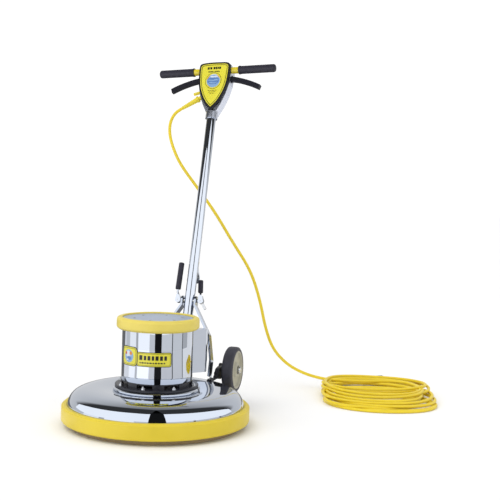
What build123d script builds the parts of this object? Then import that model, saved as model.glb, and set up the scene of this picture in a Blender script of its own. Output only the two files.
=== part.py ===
from build123d import *
import math
import os

os.makedirs("parts", exist_ok=True)

# ---------------------------------------------------------------- dimensions
# Frame: X to the machine's right hand as seen from its front, Y to the rear,
# Z up.  The origin is on the floor under the middle of the pad.
deck_r = 257.0            # outer radius of the spun deck skirt
deck_wall = 2.0
bumper_r = 273.0          # 546 mm over the deck bumper
bumper_low, bumper_high = 15.0, 62.0
pad_r, pad_t = 250.0, 20.0
driver_r, driver_top = 242.0, 42.0

can_r, can_wall = 103.2, 2.2
can_low, can_high = 134.0, 300.0
ring_r = 120.0            # motor bumper
ring_low, ring_high = 281.0, 316.0
flange_r = 126.0
flange_low, flange_high = 103.2, 112.5
plate_high = 120.7        # top of the lower end bell's rim

module = 2.0              # planetary gear set, 10 to 1
sun_n, planet_n, ring_n = 9, 36, 81
gear_low, gear_high = 73.0, 95.0

lean_deg = 16.83          # rest lean of the handle behind the vertical
pivot_y, pivot_z = 287.8, 335.0
tube_r, tube_wall = 15.875, 2.0
handle_len = 790.3        # pivot to handlebar centre, along the tube
head_twist_deg = 7.0      # the head is turned this far about the tube
bar_r, bar_half = 11.1, 205.0
grip_r, grip_in, grip_len = 13.5, 81.0, 130.0

axle_y, axle_z, axle_r = 279.0, 125.5, 7.9
wheel_r, wheel_in, wheel_out = 72.0, 133.0, 170.0
hub_r = 59.5

cord_r = 5.25
coil_c = (566.0, 632.0)   # coil centre on the floor
coil_a, coil_b, coil_h = 195.0, 240.0, 46.0
coil_turn_deg = 14.5      # long axis of the coil, turned about Z

# ---------------------------------------------------------------- directions
lean = math.radians(lean_deg)
tw = math.radians(head_twist_deg)
t_dir = Vector(0, math.sin(lean), math.cos(lean))
x_dir = Vector(1, 0, 0)
n_dir = Vector(0, math.cos(lean), -math.sin(lean))      # behind the tube
pivot = Vector(0, pivot_y, pivot_z)
bar_dir = x_dir * math.cos(tw) - n_dir * math.sin(tw)
head_front = bar_dir.cross(t_dir)
head_origin = pivot + t_dir * handle_len

yoke_plane = Plane(origin=pivot, x_dir=x_dir, z_dir=-n_dir)
head_plane = Plane(origin=head_origin, x_dir=bar_dir, z_dir=head_front)


def head_point(x, y, z):
    return head_origin + bar_dir * x + t_dir * y + head_front * z


def yoke_point(x, y, z):
    return pivot + x_dir * x + t_dir * y - n_dir * z


def save(builder, name):
    builder.part.label = name
    export_step(builder.part, f"parts/{name}.step")


def rims(builder, test):
    """Circular edges of the part that pass a test."""
    return builder.edges().filter_by(GeomType.CIRCLE).filter_by(test)


def gear_outline(n, r_pitch, r_tip, r_root, phase_deg, thin):
    """Corner points of a spur gear with straight flanks; a tooth is centred at the phase."""
    points = []
    half = math.pi / (2 * n) * thin
    slope = math.tan(math.radians(20)) / r_pitch
    def width(r):
        return half - (r - r_pitch) * slope
    for i in range(n):
        mid = math.radians(phase_deg) + 2 * math.pi * i / n
        for r, s in ((r_root, -1), (r_tip, -1), (r_tip, 1), (r_root, 1)):
            a = mid + s * width(r)
            points.append((r * math.cos(a), r * math.sin(a)))
    return points


def internal_outline(n, r_pitch, r_tip, r_root, thin):
    points = []
    half = math.pi / (2 * n) * thin
    slope = math.tan(math.radians(20)) / r_pitch
    for i in range(n):
        mid = 2 * math.pi * i / n
        for r, s in ((r_root, -1), (r_tip, -1), (r_tip, 1), (r_root, 1)):
            a = mid + s * (half + (r - r_pitch) * slope)
            points.append((r * math.cos(a), r * math.sin(a)))
    return points


# ================================================================ deck
deck_outer = [(126, 103.2), (150, 106), (172, 107.4), (195, 107), (215, 104), (232, 97.8),
              (243.5, 89), (251, 78), (255.6, 67)]
with BuildPart() as deck_apron:
    with BuildSketch(Plane.XZ):
        with BuildLine():
            top = Spline(*(deck_outer + [(deck_r, 58)]), tangents=[(1, 0.1), (0, -1)])
            skirt = Line(top @ 1, (deck_r, 24))
            foot = Line(skirt @ 1, (deck_r - deck_wall, 24))
            inner_skirt = Line(foot @ 1, (deck_r - deck_wall, 58))
            under = Spline((deck_r - deck_wall, 58), (253.7, 66.4), (249.3, 76.8), (242.1, 87.5), (231.2, 96.0),
                           (214.6, 102.0), (195, 105), (172, 105.4), (150, 104), (126, 101.2),
                           tangents=[(0, 1), (-1, -0.1)])
            neck = Polyline(under @ 1, (101.5, 101.0), (101.5, 103.1), (124, 103.1), top @ 0)
        make_face()
    revolve(axis=Axis.Z)
save(deck_apron, "deck_apron")

with BuildPart() as deck_bumper:
    with BuildSketch(Plane.XZ):
        with BuildLine():
            Polyline((deck_r + 0.1, bumper_low), (bumper_r, bumper_low), (bumper_r, bumper_high - 6),
                     (266, bumper_high), (deck_r + 0.1, bumper_high), close=True)
        make_face()
    revolve(axis=Axis.Z)
    fillet(rims(deck_bumper, lambda e: e.center().Z > bumper_high - 7 and e.radius > deck_r + 5), 3.5)
    fillet(rims(deck_bumper, lambda e: abs(e.center().Z - bumper_low) < 1 and e.radius > deck_r + 5), 7)
save(deck_bumper, "deck_bumper")

# ================================================================ gear case
with BuildPart() as gear_case:
    with BuildSketch(Plane.XZ):
        with BuildLine():
            Polyline((31, 52), (42, 52), (42, 59), (100, 59), (100, flange_low), (flange_r - 1, flange_low), (flange_r, flange_low + 1.2),
                     (flange_r, flange_high - 2.5), (flange_r - 2.5, flange_high), (90, flange_high), (90, 66), (31, 66), close=True)
        make_face()
    revolve(axis=Axis.Z)
save(gear_case, "gear_case")

with BuildPart() as ring_gear:
    with BuildSketch(Plane.XY.offset(gear_low - 1)):
        Circle(89.9)
        with BuildLine():
            Polyline(*internal_outline(ring_n, 81.0, 79.4, 83.6, 0.80), close=True)
        make_face(mode=Mode.SUBTRACT)
    extrude(amount=gear_high - gear_low + 2)
save(ring_gear, "ring_gear")

for index in range(3):
    phi = 120.0 * index
    cx = 45 * math.cos(math.radians(phi))
    cy = 45 * math.sin(math.radians(phi))
    with BuildPart() as planet:
        with BuildSketch(Plane((cx, cy, gear_low))):
            with BuildLine():
                Polyline(*gear_outline(planet_n, 36.0, 37.6, 33.4, 5.0, 0.80), close=True)
            make_face()
            Circle(6.05, mode=Mode.SUBTRACT)
        extrude(amount=gear_high - gear_low)
    save(planet, f"planet_gear_{index + 1}")

# carrier, its three pins, the output shaft and the three-lug drive flange
with BuildPart() as planet_carrier:
    with BuildSketch(Plane.XY.offset(67.5)):
        Circle(72)
        with PolarLocations(58, 3, start_angle=60):
            Circle(9, mode=Mode.SUBTRACT)
    extrude(amount=4.5)
    with BuildSketch(Plane.XY.offset(70)):
        with PolarLocations(45, 3):
            Circle(6.0)
    extrude(amount=29)
    with BuildSketch(Plane.XY.offset(44)):
        Circle(18)
    extrude(amount=24)
    with BuildSketch(Plane.XY.offset(32)):
        Circle(44)
        with PolarLocations(48, 3):
            SlotOverall(30, 18)
    extrude(amount=12)
save(planet_carrier, "planet_carrier")

with BuildPart() as pad_driver:
    with BuildSketch(Plane.XY.offset(pad_t + 4)):
        Circle(driver_r)
        Circle(44.4, mode=Mode.SUBTRACT)
        with PolarLocations(48, 3):
            SlotOverall(30.8, 18.8, mode=Mode.SUBTRACT)
    extrude(amount=driver_top - pad_t - 4)
    # short gripping tufts under the block, as one ring
    with BuildSketch(Plane.XY.offset(pad_t)):
        Circle(driver_r - 8)
        Circle(72, mode=Mode.SUBTRACT)
    extrude(amount=4)
    # moulded ribs on the upper face
    with BuildSketch(Plane.XY.offset(driver_top)):
        with PolarLocations(150, 12):
            Rectangle(150, 5)
    extrude(amount=5)
    fillet(pad_driver.edges().filter_by(GeomType.CIRCLE).filter_by(lambda e: abs(e.radius - driver_r) < 0.1 and e.center().Z > 30), 3)
save(pad_driver, "pad_driver")

with BuildPart() as floor_pad:
    with BuildSketch(Plane.XY):
        Circle(pad_r)
    extrude(amount=pad_t)
    fillet(floor_pad.edges(), 3)
save(floor_pad, "floor_pad")

# ================================================================ motor
with BuildPart() as lower_end_bell:
    with BuildSketch(Plane.XZ):
        with BuildLine():
            Polyline((20.05, 121.5), (60, flange_high + 0.1), (119.5, flange_high + 0.1), (121.5, flange_high + 2), (121.5, plate_high - 1.5),
                     (120, plate_high), (103.4, plate_high), (103.4, 133.6), (97, 133.6), (97, 121), (62, 121), (28, 128), (28, 136),
                     (20.05, 136), close=True)
        make_face()
    revolve(axis=Axis.Z)
    # cooling-air openings round the wall
    for k in range(8):
        with BuildSketch(Plane(origin=(0, 0, plate_high), x_dir=(math.cos(math.radians(45 * k)), math.sin(math.radians(45 * k)), 0),
                               z_dir=(0, 0, 1))):
            with Locations((100.2, 0)):
                Rectangle(12, 47)
        extrude(amount=10.5, mode=Mode.SUBTRACT)
save(lower_end_bell, "lower_end_bell")

with BuildPart() as motor_can:
    with BuildSketch(Plane.XY.offset(can_low)):
        Circle(can_r)
        Circle(can_r - can_wall, mode=Mode.SUBTRACT)
    extrude(amount=can_high - can_low)
save(motor_can, "motor_can")

with BuildPart() as stator_core:
    with BuildSketch(Plane.XY.offset(168)):
        Circle(can_r - can_wall - 0.1)
        Circle(62, mode=Mode.SUBTRACT)
        with PolarLocations(71, 24):
            SlotOverall(15, 6, mode=Mode.SUBTRACT)
    extrude(amount=66)
save(stator_core, "stator_core")

with BuildPart() as stator_windings:
    for z0 in (146, 235):
        with BuildSketch(Plane.XY.offset(z0)):
            Circle(90)
            Circle(65, mode=Mode.SUBTRACT)
        extrude(amount=21)
    fillet(stator_windings.edges().filter_by(GeomType.CIRCLE), 7)
save(stator_windings, "stator_windings")

with BuildPart() as rotor_core:
    with BuildSketch(Plane.XY.offset(168)):
        Circle(61.3)
        Circle(11, mode=Mode.SUBTRACT)
    extrude(amount=66)
save(rotor_core, "rotor_core")

# motor shaft with the sun pinion cut on its lower end
with BuildPart() as motor_shaft:
    with BuildSketch(Plane.XY.offset(gear_low + 1)):
        with BuildLine():
            Polyline(*gear_outline(sun_n, 9.0, 10.6, 6.4, 0.0, 0.80), close=True)
        make_face()
    extrude(amount=gear_high - gear_low + 1)
    with BuildSketch(Plane.XY.offset(97)):
        Circle(10.95)
    extrude(amount=198)
    chamfer(motor_shaft.faces().sort_by(Axis.Z)[-1].edges(), 1)
save(motor_shaft, "motor_shaft")

with BuildPart() as cooling_fan:
    with BuildSketch(Plane.XY.offset(281)):
        Circle(78)
        Circle(11, mode=Mode.SUBTRACT)
    extrude(amount=2)
    with BuildSketch(Plane.XY.offset(281)):
        Circle(17)
        Circle(11, mode=Mode.SUBTRACT)
    extrude(amount=13)
    with BuildSketch(Plane.XY.offset(282)):
        with PolarLocations(47, 10):
            Rectangle(58, 2.4, rotation=18)
    extrude(amount=14)
save(cooling_fan, "cooling_fan")

with BuildPart() as upper_end_bell:
    with BuildSketch(Plane.XY.offset(262)):
        Circle(can_r - can_wall - 0.1)
        Circle(20.05, mode=Mode.SUBTRACT)
        with PolarLocations(60, 6):
            SlotOverall(42, 20, rotation=90, mode=Mode.SUBTRACT)
    extrude(amount=7)
    with BuildSketch(Plane.XY.offset(262)):
        Circle(27)
        Circle(20.05, mode=Mode.SUBTRACT)
    extrude(amount=14)
save(upper_end_bell, "upper_end_bell")

# upper and lower motor bearings and the output bearing, as closed rings
with BuildPart() as ball_bearings:
    for z0, ri, ro, h in ((263, 11.0, 20.0, 12), (122.5, 11.0, 20.0, 12), (53, 18.05, 30.95, 12)):
        with BuildSketch(Plane.XY.offset(z0)):
            Circle(ro)
            Circle(ri, mode=Mode.SUBTRACT)
        extrude(amount=h)
save(ball_bearings, "ball_bearings")

with BuildPart() as motor_top_cover:
    with BuildSketch(Plane.XY.offset(can_high)):
        Circle(can_r - 0.2)
        Circle(can_r - 9, mode=Mode.SUBTRACT)
    extrude(amount=9)
    with BuildSketch(Plane.XY.offset(can_high + 9)):
        Circle(can_r - 0.2)
        with PolarLocations(70, 6, start_angle=30):
            Circle(2.6, mode=Mode.SUBTRACT)
    extrude(amount=3)
    fillet(motor_top_cover.edges().filter_by(GeomType.CIRCLE).filter_by(lambda e: e.radius > 100 and e.center().Z > can_high + 11), 1.5)
save(motor_top_cover, "motor_top_cover")

with BuildPart() as cover_screws:
    with BuildSketch(Plane.XY.offset(can_high + 12)):
        with PolarLocations(70, 6, start_angle=30):
            Circle(3.4)
    extrude(amount=1.4)
    with BuildSketch(Plane.XY.offset(can_high + 3)):
        with PolarLocations(70, 6, start_angle=30):
            Circle(2.5)
    extrude(amount=9.5)
save(cover_screws, "cover_screws")

with BuildPart() as motor_bumper:
    with BuildSketch(Plane.XZ):
        with BuildLine():
            Polyline((can_r + 0.1, ring_low), (113, ring_low), (119, ring_low + 4.5), (ring_r, ring_low + 9), (ring_r, ring_high - 7),
                     (118, ring_high - 2), (113, ring_high), (105.2, ring_high), (can_r + 0.1, ring_high - 2), close=True)
        make_face()
    revolve(axis=Axis.Z)
save(motor_bumper, "motor_bumper")

# curved badge and name strip on the front of the can, both blank
with BuildPart() as motor_label:
    for start, arc, z0, z1 in ((-90 - 49, 36, 183, 239), (-90 - 12.5, 55, 184, 226)):
        a = math.radians(start)
        with BuildSketch(Plane(origin=(0, 0, 0), x_dir=(math.cos(a), math.sin(a), 0), z_dir=(math.sin(a), -math.cos(a), 0))):
            with Locations((can_r + 0.45, (z0 + z1) / 2)):
                Rectangle(0.7, z1 - z0)
        revolve(axis=Axis.Z, revolution_arc=arc)
save(motor_label, "motor_label")

# hexagon nuts on studs round the end bell, and the low-headed bolts of the wheel brackets
with BuildPart() as hex_bolts:
    for k in range(8):
        a = math.radians(45 * k)
        with BuildSketch(Plane((113 * math.cos(a), 113 * math.sin(a), plate_high))):
            RegularPolygon(4.7, 6, major_radius=False)
        extrude(amount=5)
        with BuildSketch(Plane((113 * math.cos(a), 113 * math.sin(a), plate_high))):
            Circle(2.6)
        extrude(amount=9)
    for side in (-1, 1):
        for x, y, z in ((108.5, 166, 110.6), (108.5, 186, 110.6)):
            with BuildSketch(Plane((side * x, y, z))):
                Circle(3.6)
            extrude(amount=1.6)
save(hex_bolts, "hex_bolts")

# ================================================================ capacitor box
box_outline = [(-28, 150), (28, 150), (83, 212), (83, 230), (-83, 230), (-83, 212)]
with BuildPart() as capacitor_box:
    for low, tall, skin in ((124, 134, 0), (126, 130, 2)):
        with BuildSketch(Plane.XY.offset(low)):
            with BuildLine():
                Polyline(*box_outline, close=True)
            make_face()
            fillet(vertices(), 6)
            if skin:
                offset(amount=-skin, mode=Mode.REPLACE)
        extrude(amount=tall, mode=Mode.SUBTRACT if skin else Mode.ADD)
    # wiring neck to the motor can
    with BuildSketch(Plane.XY.offset(150)):
        with Locations((0, 127)):
            Rectangle(50, 50)
        Circle(can_r + 0.1, mode=Mode.SUBTRACT)
    extrude(amount=80)
    with BuildSketch(Plane.XY.offset(155)):
        with Locations((0, 127)):
            Rectangle(44, 52)
        Circle(can_r + 0.1, mode=Mode.SUBTRACT)
    extrude(amount=70, mode=Mode.SUBTRACT)
save(capacitor_box, "capacitor_box")

with BuildPart() as capacitors:
    for x, r, h in ((-38, 22, 104), (38, 23, 108)):
        with BuildSketch(Plane((x, 203, 126.1))):
            Circle(r)
        extrude(amount=h)
        with BuildSketch(Plane((x, 203, 126.1 + h))):
            with Locations((-9, 0), (9, 0)):
                Rectangle(1, 6.4)
        extrude(amount=9)
    fillet(capacitors.edges().filter_by(GeomType.CIRCLE), 2)
save(capacitors, "capacitors")

# ================================================================ rear yoke, brackets, axle
with BuildPart() as yoke_arms:
    for side in (-1, 1):
        with BuildSketch(yoke_plane.offset(-15)):
            with BuildLine():
                Polyline((side * 19, 14), (side * 25, 14), (side * 25, -14.5), (side * 80.9, -106.3), (side * 97, -184.5),
                         (side * 97, -237), (side * 91, -237), (side * 91, -185.5), (side * 75.2, -109.2), (side * 19, -17.2), close=True)
            make_face()
        extrude(amount=30)
    # bore for the clamp bolt
    with BuildSketch(Plane(origin=pivot - x_dir * 60, x_dir=(0, 1, 0), z_dir=(1, 0, 0))):
        Circle(6.05)
    extrude(amount=120, mode=Mode.SUBTRACT)
    fillet(yoke_arms.edges().filter_by(Axis.X).filter_by(lambda e: e.center().Z > pivot_z + 5), 12)
save(yoke_arms, "yoke_arms")

with BuildPart() as axle_brackets:
    for side in (-1, 1):
        with BuildSketch(Plane(origin=(side * 113, 0, 0), x_dir=(0, 1, 0), z_dir=(1, 0, 0))):
            with BuildLine():
                Polyline((158, 107.8), (200, 107.8), (236, 100.5), (279, 100), (301, 109), (304, 120), (297, 132), (280, 138), (240, 138.5),
                         (217, 135), (204, 125), (196, 111.5), (158, 110.6), close=True)
            make_face()
            with Locations((219, 139), (208, 131.5), (200, 121)):
                Circle(4.6, mode=Mode.SUBTRACT)
            with Locations((axle_y, axle_z)):
                Circle(axle_r + 0.02, mode=Mode.SUBTRACT)
        extrude(amount=side * 12)
        with BuildSketch(Plane(origin=(0, 0, 107.8), x_dir=(1, 0, 0), z_dir=(0, 0, 1))):
            with Locations((side * 111, 176)):
                Rectangle(14, 36)
        extrude(amount=2.8)
        with BuildSketch(Plane(origin=(side * 109, axle_y, axle_z), x_dir=(0, 1, 0), z_dir=(side, 0, 0))):
            Circle(18)
            Circle(axle_r + 0.02, mode=Mode.SUBTRACT)
        extrude(amount=5)
save(axle_brackets, "axle_brackets")

with BuildPart() as axle:
    for side in (-1, 1):
        with BuildSketch(Plane(origin=(side * 107, axle_y, axle_z), x_dir=(0, 1, 0), z_dir=(side, 0, 0))):
            Circle(axle_r)
        extrude(amount=66)
save(axle, "axle")

# spacing collars inboard of the wheels and domed cap nuts outboard
with BuildPart() as axle_fittings:
    for side in (-1, 1):
        with BuildSketch(Plane(origin=(side * 125.1, axle_y, axle_z), x_dir=(0, 1, 0), z_dir=(side, 0, 0))):
            Circle(12)
            Circle(axle_r + 0.05, mode=Mode.SUBTRACT)
        extrude(amount=7.4)
        with BuildSketch(Plane(origin=(side * 170.6, axle_y, axle_z), x_dir=(0, 1, 0), z_dir=(side, 0, 0))):
            Circle(11)
        extrude(amount=8)
        with BuildSketch(Plane(origin=(side * 170.6, axle_y, axle_z), x_dir=(0, 1, 0), z_dir=(side, 0, 0))):
            Circle(axle_r + 0.05)
        extrude(amount=2.6, mode=Mode.SUBTRACT)
    fillet(axle_fittings.edges().filter_by(GeomType.CIRCLE).filter_by(lambda e: abs(e.center().X) > 178 and e.radius > 10), 4)
save(axle_fittings, "axle_fittings")

for side, tag in ((-1, "left"), (1, "right")):
    wheel_plane = Plane(origin=(0, axle_y, axle_z), x_dir=(side, 0, 0), z_dir=(0, side, 0))
    with BuildPart() as wheel_hub:
        with BuildSketch(wheel_plane):
            with BuildLine():
                Polyline((wheel_in, axle_r + 0.07), (wheel_in, 16), (wheel_in + 8, 18), (wheel_in + 8, 46), (wheel_in + 2, 50),
                         (wheel_in + 2, hub_r - 0.1), (wheel_out, hub_r - 0.1), (wheel_out, 51), (wheel_out - 7, 46), (wheel_out - 9, 20),
                         (wheel_out - 3, 16), (wheel_out, 14), (wheel_out, axle_r + 0.07), close=True)
            make_face()
        revolve(axis=Axis((0, axle_y, axle_z), (1, 0, 0)))
    save(wheel_hub, f"wheel_hub_{tag}")
    with BuildPart() as tyre:
        with BuildSketch(wheel_plane):
            with BuildLine():
                Polyline((wheel_in + 1.5, hub_r), (wheel_in + 1, 66), (wheel_in + 6, 71), (wheel_in + 10, wheel_r), (wheel_out - 10, wheel_r),
                         (wheel_out - 5, 71), (wheel_out - 0.5, 66), (wheel_out - 0.5, hub_r), close=True)
            make_face()
        revolve(axis=Axis((0, axle_y, axle_z), (1, 0, 0)))
    save(tyre, f"tyre_{tag}")

# ================================================================ handle
with BuildPart() as handle_tube:
    with BuildSketch(Plane(origin=pivot - t_dir * 62, x_dir=x_dir, z_dir=t_dir)):
        Circle(tube_r)
        Circle(tube_r - tube_wall, mode=Mode.SUBTRACT)
    extrude(amount=62 + handle_len - 110)
    with BuildSketch(Plane(origin=pivot - x_dir * 20, x_dir=(0, 1, 0), z_dir=(1, 0, 0))):
        Circle(9.1)
    extrude(amount=40, mode=Mode.SUBTRACT)
save(handle_tube, "handle_tube")

with BuildPart() as pivot_sleeve:
    with BuildSketch(Plane(origin=pivot - x_dir * 18.7, x_dir=(0, 1, 0), z_dir=(1, 0, 0))):
        Circle(9.0)
        Circle(6.05, mode=Mode.SUBTRACT)
    extrude(amount=37.4)
save(pivot_sleeve, "pivot_sleeve")

# clamp bolt with a flat tongue and a cam pin at each end
with BuildPart() as clamp_bolt:
    with BuildSketch(Plane(origin=pivot - x_dir * 27.5, x_dir=(0, 1, 0), z_dir=(1, 0, 0))):
        Circle(6.0)
    extrude(amount=55)
    for side in (-1, 1):
        with BuildSketch(yoke_plane.offset(-3)):
            with Locations((side * 35, 0)):
                Rectangle(18, 10)
        extrude(amount=6)
        with BuildSketch(yoke_plane.offset(-7.9)):
            with Locations((side * 38, 0)):
                Circle(2.5)
        extrude(amount=15.8)
    # stop tab below the right cam
    with BuildSketch(yoke_plane.offset(-3)):
        with BuildLine():
            Polyline((38, -4), (43.5, -3), (56, -18), (58, -25), (52, -27.5), (46, -20), close=True)
        make_face()
    extrude(amount=6)
save(clamp_bolt, "clamp_bolt")


for side, tag in ((-1, "left"), (1, "right")):
    with BuildPart() as cam_lever:
        with BuildSketch(yoke_plane.offset(-8)):
            with Locations((side * 38, 0)):
                Circle(9)
            with BuildLine():
                if side < 0:
                    Polyline((-46, 3), (-44.5, 17), (-38.5, 19), (-33, 13), (-30, 4), close=True)
                else:
                    Polyline((46, 3), (41, 17), (33, 20), (29.5, 14), (30, 4), close=True)
            make_face()
        extrude(amount=16)
        # slot for the tongue
        with BuildSketch(yoke_plane.offset(-3.3)):
            with Locations((side * 38, 0)):
                Circle(10.5)
        extrude(amount=6.6, mode=Mode.SUBTRACT)
        with BuildSketch(yoke_plane.offset(-9)):
            with Locations((side * 38, 0)):
                Circle(2.55)
        extrude(amount=18, mode=Mode.SUBTRACT)
        # rod that carries the grip
        if side < 0:
            rod_points = [yoke_point(-39, 15, 0), yoke_point(-43.2, 26, 0), yoke_point(-41.6, 100, 0)]
        else:
            rod_points = [yoke_point(35, 16, 0), yoke_point(27, 27, -22), yoke_point(22.5, 62, -26)]
        with BuildLine() as rod_path:
            FilletPolyline(*rod_points, radius=6)
        with BuildSketch(Plane(origin=rod_points[0], z_dir=rod_points[1] - rod_points[0])):
            Circle(3.4)
        sweep(path=rod_path.line)
    save(cam_lever, f"cam_lever_{tag}")
    a, b = rod_points[1], rod_points[2]
    d = (b - a).normalized()
    with BuildPart() as lever_grip:
        g0 = a + d * 8 if side < 0 else a + d * 4
        length = 100 if side < 0 else 58
        radius = 8.8 if side < 0 else 8.2
        with BuildSketch(Plane(origin=g0, z_dir=d)):
            Circle(radius)
        extrude(amount=length - 12 if side < 0 else 42)
        fillet(lever_grip.edges().filter_by(GeomType.CIRCLE), 3)
        with BuildSketch(Plane(origin=g0, z_dir=d)):
            Circle(3.45)
        extrude(amount=(b - g0).length + 0.1, mode=Mode.SUBTRACT)
    save(lever_grip, f"lever_grip_{tag}")

# strap hook behind the tube for winding the cord
with BuildPart() as cord_hook:
    hook_plane = Plane(origin=yoke_point(-11, 0, 0), x_dir=n_dir, z_dir=(1, 0, 0))
    with BuildSketch(hook_plane):
        with BuildLine():
            Polyline((tube_r + 0.1, 132), (tube_r + 3.2, 132), (tube_r + 5, 112), (46, 88), (50, 66), (44, 66), (40.5, 84), (tube_r + 2, 98),
                     (tube_r + 0.1, 98), close=True)
        make_face()
    extrude(amount=22)
    fillet(cord_hook.edges().filter_by(Axis.X), 1.2)
save(cord_hook, "cord_hook")

# ================================================================ head
plate_half = [(0, 24), (28, 23.2), (46, 21), (55, 12), (55, -18), (51, -57), (42, -86), (31, -109), (17, -129.5), (0, -147)]
case_half = [(0, 26), (40, 24.5), (56, 16), (57.5, -18), (55, -54), (46, -90), (33, -122), (14, -158)]


def half_outline(points, sign):
    return [(sign * x, y) for x, y in points]


with BuildPart() as head_case:
    with BuildSketch(head_plane.offset(-27)):
        with BuildLine():
            Polyline(*(case_half + [(-x, y) for x, y in reversed(case_half[1:])]), close=True)
        make_face()
        fillet(vertices(), 7)
    extrude(amount=39)
    fillet(head_case.faces().sort_by(Axis(origin=head_origin, direction=head_front))[0].edges(), 6)
    # collar for the tube
    with BuildSketch(Plane(origin=head_point(0, -172, 0), x_dir=bar_dir, z_dir=t_dir)):
        Circle(20.5)
    extrude(amount=40)
    # hollow for the switch, open at the front
    with BuildSketch(head_plane.offset(-22)):
        with BuildLine():
            Polyline((-50, 17), (50, 17), (51, -18), (49, -54), (42, -84), (30, -112), (21, -128), (-21, -128), (-30, -112), (-42, -84), (-49, -54),
                     (-51, -18), close=True)
        make_face()
    extrude(amount=50, mode=Mode.SUBTRACT)
    # flat on the collar behind the tip of the front plate
    with BuildSketch(head_plane.offset(12)):
        with Locations((0, -136)):
            Rectangle(60, 26)
    extrude(amount=12, mode=Mode.SUBTRACT)
    # bore for the tube, bores for the bar
    with BuildSketch(Plane(origin=head_point(0, -180, 0), x_dir=bar_dir, z_dir=t_dir)):
        Circle(tube_r + 0.05)
    extrude(amount=70, mode=Mode.SUBTRACT)
    with BuildSketch(Plane(origin=head_point(-80, 0, 0), x_dir=t_dir, z_dir=bar_dir)):
        Circle(bar_r + 0.05)
    extrude(amount=160, mode=Mode.SUBTRACT)
    # bosses for the trigger pins and the slots that the triggers come out of
    for side in (-1, 1):
        with BuildSketch(head_plane.offset(-24)):
            with Locations((side * 46, -30)):
                Circle(6.5)
        extrude(amount=11.2)
        with BuildSketch(head_plane.offset(-12.6)):
            with Locations((side * 56, -30.5)):
                Rectangle(32, 25)
        extrude(amount=15.7, mode=Mode.SUBTRACT)
        with BuildSketch(head_plane.offset(-24)):
            with Locations((side * 46, -30)):
                Circle(3.05)
        extrude(amount=14, mode=Mode.SUBTRACT)
    # bore for the lock button in the left wall, and the hole for the cord entry
    with BuildSketch(Plane(origin=head_point(-30, -66, -5), x_dir=head_front, z_dir=-bar_dir * 0.966 - t_dir * 0.259)):
        Circle(5.06)
    extrude(amount=40, mode=Mode.SUBTRACT)
    with BuildSketch(Plane(origin=head_point(-27, -79.1, -5), x_dir=head_front, z_dir=-bar_dir * 0.878 - t_dir * 0.479)):
        Circle(7.05)
    extrude(amount=45, mode=Mode.SUBTRACT)
save(head_case, "head_case")

label_half = [(0, 18.2), (26, 17.4), (41.5, 15.6), (48.9, 8), (48.9, -18), (45, -55), (36.8, -81.5), (26.5, -103), (13.7, -121.5), (0, -135.5)]
for name, height, depth, half in (("front_plate", 12.1, 8.0, plate_half), ("front_label", 20.2, 0.6, label_half)):
    with BuildPart() as face:
        with BuildSketch(head_plane.offset(height)):
            with BuildLine():
                r1 = Spline(*half[3:], tangents=[(0.1, -1), (-0.7, -0.72)])
                s1 = Spline(half[0], half[1], half[2], r1 @ 0, tangents=[(1, 0), (0.1, -1)])
                r2 = Spline(*[(-x, y) for x, y in reversed(half[3:])], tangents=[(-0.7, 0.72), (0.1, 1)])
                s2 = Spline(r2 @ 1, *[(-x, y) for x, y in reversed(half[:3])], tangents=[(0.1, 1), (1, 0)])
            make_face()
        extrude(amount=depth)
        if name == "front_plate":
            # channel behind the tip for the tube
            with BuildSketch(Plane(origin=head_point(0, -200, 0), x_dir=bar_dir, z_dir=t_dir)):
                Circle(tube_r + 0.1)
            extrude(amount=95, mode=Mode.SUBTRACT)
    save(face, name)

with BuildPart() as plate_screws:
    for x, y in ((-38, 10), (38, 10), (0, -116)):
        with BuildSketch(head_plane.offset(-30.4)):
            with Locations((x, y)):
                Circle(4.2)
        extrude(amount=3.2)
save(plate_screws, "plate_screws")

with BuildPart() as handlebar:
    with BuildSketch(Plane(origin=head_point(-bar_half, 0, 0), x_dir=t_dir, z_dir=bar_dir)):
        Circle(bar_r)
        Circle(bar_r - 1.8, mode=Mode.SUBTRACT)
    extrude(amount=2 * bar_half)
save(handlebar, "handlebar")

for side, tag in ((-1, "left"), (1, "right")):
    with BuildPart() as grip:
        with BuildSketch(Plane(origin=head_point(side * grip_in, 0, 0), x_dir=t_dir, z_dir=bar_dir * side)):
            Circle(grip_r)
        extrude(amount=grip_len)
        fillet(grip.edges().filter_by(GeomType.CIRCLE).sort_by(Axis(origin=head_origin, direction=bar_dir * side))[-1], 8)
        with BuildSketch(Plane(origin=head_point(side * grip_in, 0, 0), x_dir=t_dir, z_dir=bar_dir * side)):
            Circle(bar_r + 0.03)
        extrude(amount=bar_half - grip_in + 0.1, mode=Mode.SUBTRACT)
    save(grip, f"grip_{tag}")

    with BuildPart() as trigger:
        with BuildSketch(head_plane.offset(-12.2)):
            with BuildLine():
                u = Spline((side * 56, -22.5), (side * 84, -28), (side * 122, -39.5), (side * 163, -57), tangents=[(side * 1, -0.12), (side * 1, -0.5)])
                e = Line(u @ 1, (side * 158, -71.5))
                w = Spline(e @ 1, (side * 119, -54.5), (side * 82, -43), (side * 54, -38.5), tangents=[(side * -1, 0.5), (side * -1, 0.05)])
                i = Polyline(w @ 1, (side * 27, -37), (side * 27, -30), (side * 42, -23), u @ 0)
            make_face()
            with Locations((side * 46, -30)):
                Circle(3.1, mode=Mode.SUBTRACT)
        extrude(amount=14.9)
    save(trigger, f"trigger_{tag}")

with BuildPart() as trigger_pins:
    for side in (-1, 1):
        with BuildSketch(head_plane.offset(-21.9)):
            with Locations((side * 46, -30)):
                Circle(3.0)
        extrude(amount=26)
        with BuildSketch(head_plane.offset(3.1)):
            with Locations((side * 46, -30)):
                Circle(4.0)
        extrude(amount=2.4)
save(trigger_pins, "trigger_pins")

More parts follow.
